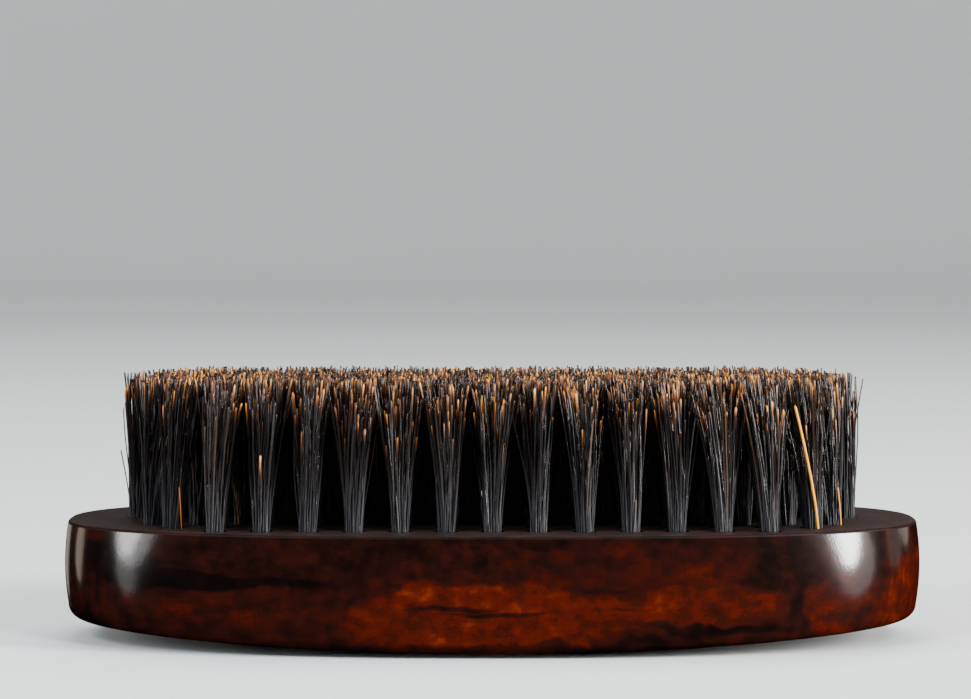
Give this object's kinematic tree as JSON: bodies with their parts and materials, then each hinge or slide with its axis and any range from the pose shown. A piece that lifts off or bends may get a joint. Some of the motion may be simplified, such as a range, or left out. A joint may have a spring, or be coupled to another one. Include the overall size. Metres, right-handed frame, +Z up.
{
  "type": "beard brush",
  "caption": "Oval palm brush for beards: a one-piece wood block with a flat bristle face and a domed back, drilled and filled with tufts of dark boar bristle held by wire anchors.",
  "frame": {"origin": "middle of the flat pad on the domed back that the brush rests on, bristles up", "axes": "+X along the block, +Y across it, +Z up through the bristles"},
  "size_m": [0.127, 0.061, 0.0392],
  "materials": {
    "lacquered_wood": "gloss",
    "boar_bristle": "satin",
    "anchor_wire": "satin"
  },
  "bodies": {
    "root": {"wood_body": "lacquered_wood", "tuft_row_1": "boar_bristle", "tuft_row_2": "boar_bristle", "tuft_row_3": "boar_bristle", "tuft_row_4": "boar_bristle", "tuft_row_6": "boar_bristle", "tuft_row_7": "boar_bristle", "tuft_row_8": "boar_bristle", "tuft_row_9": "boar_bristle", "middle_tuft_01": "boar_bristle", "middle_tuft_02": "boar_bristle", "middle_tuft_03": "boar_bristle", "middle_tuft_04": "boar_bristle", "middle_tuft_05": "boar_bristle", "middle_tuft_06": "boar_bristle", "middle_tuft_07": "boar_bristle", "middle_tuft_08": "boar_bristle", "middle_tuft_09": "boar_bristle", "middle_tuft_10": "boar_bristle", "middle_tuft_11": "boar_bristle", "middle_tuft_12": "boar_bristle", "middle_tuft_13": "boar_bristle", "middle_tuft_14": "boar_bristle", "middle_tuft_15": "boar_bristle", "middle_tuft_16": "boar_bristle", "middle_tuft_17": "boar_bristle", "middle_anchor_01": "anchor_wire", "middle_anchor_02": "anchor_wire", "middle_anchor_03": "anchor_wire", "middle_anchor_04": "anchor_wire", "middle_anchor_05": "anchor_wire", "middle_anchor_06": "anchor_wire", "middle_anchor_07": "anchor_wire", "middle_anchor_08": "anchor_wire", "middle_anchor_09": "anchor_wire", "middle_anchor_10": "anchor_wire", "middle_anchor_11": "anchor_wire", "middle_anchor_12": "anchor_wire", "middle_anchor_13": "anchor_wire", "middle_anchor_14": "anchor_wire", "middle_anchor_15": "anchor_wire", "middle_anchor_16": "anchor_wire", "middle_anchor_17": "anchor_wire"}
  },
  "joints": []
}
